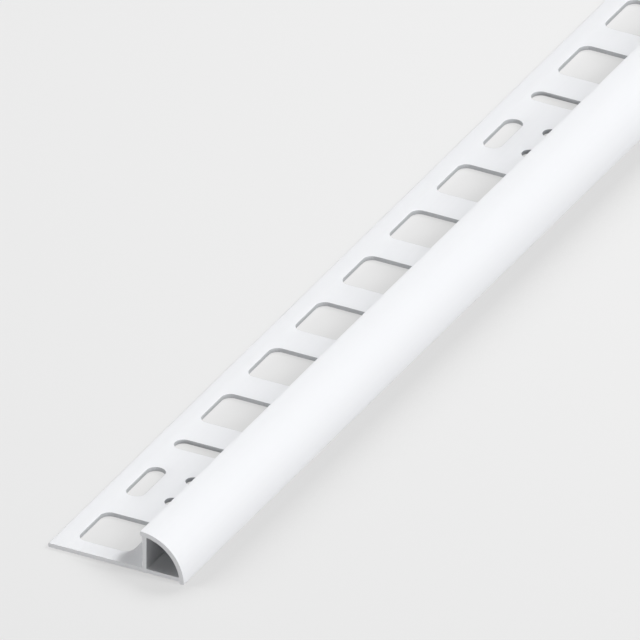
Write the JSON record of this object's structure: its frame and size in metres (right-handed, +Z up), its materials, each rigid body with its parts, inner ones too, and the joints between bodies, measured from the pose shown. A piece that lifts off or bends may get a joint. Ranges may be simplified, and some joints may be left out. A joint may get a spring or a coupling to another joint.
{
  "type": "tile edge trim",
  "caption": "Quarter-round tile edge trim: a length of hollow rounded plastic profile with a lip over the tile and a flat flange punched with mortar holes, nail slots and nail holes.",
  "frame": {"origin": "on the floor under the middle of the trim, at the middle of its box", "axes": "+X across the trim from the flange's free edge to the rounded face, +Y along the trim, +Z up from the adhesive bed to the top of the rounded face"},
  "size_m": [0.0298, 1, 0.0095],
  "materials": {
    "white_plastic": "smooth satin cool white, coloured right through"
  },
  "bodies": {
    "root": {"trim_profile": "white_plastic"}
  },
  "joints": []
}
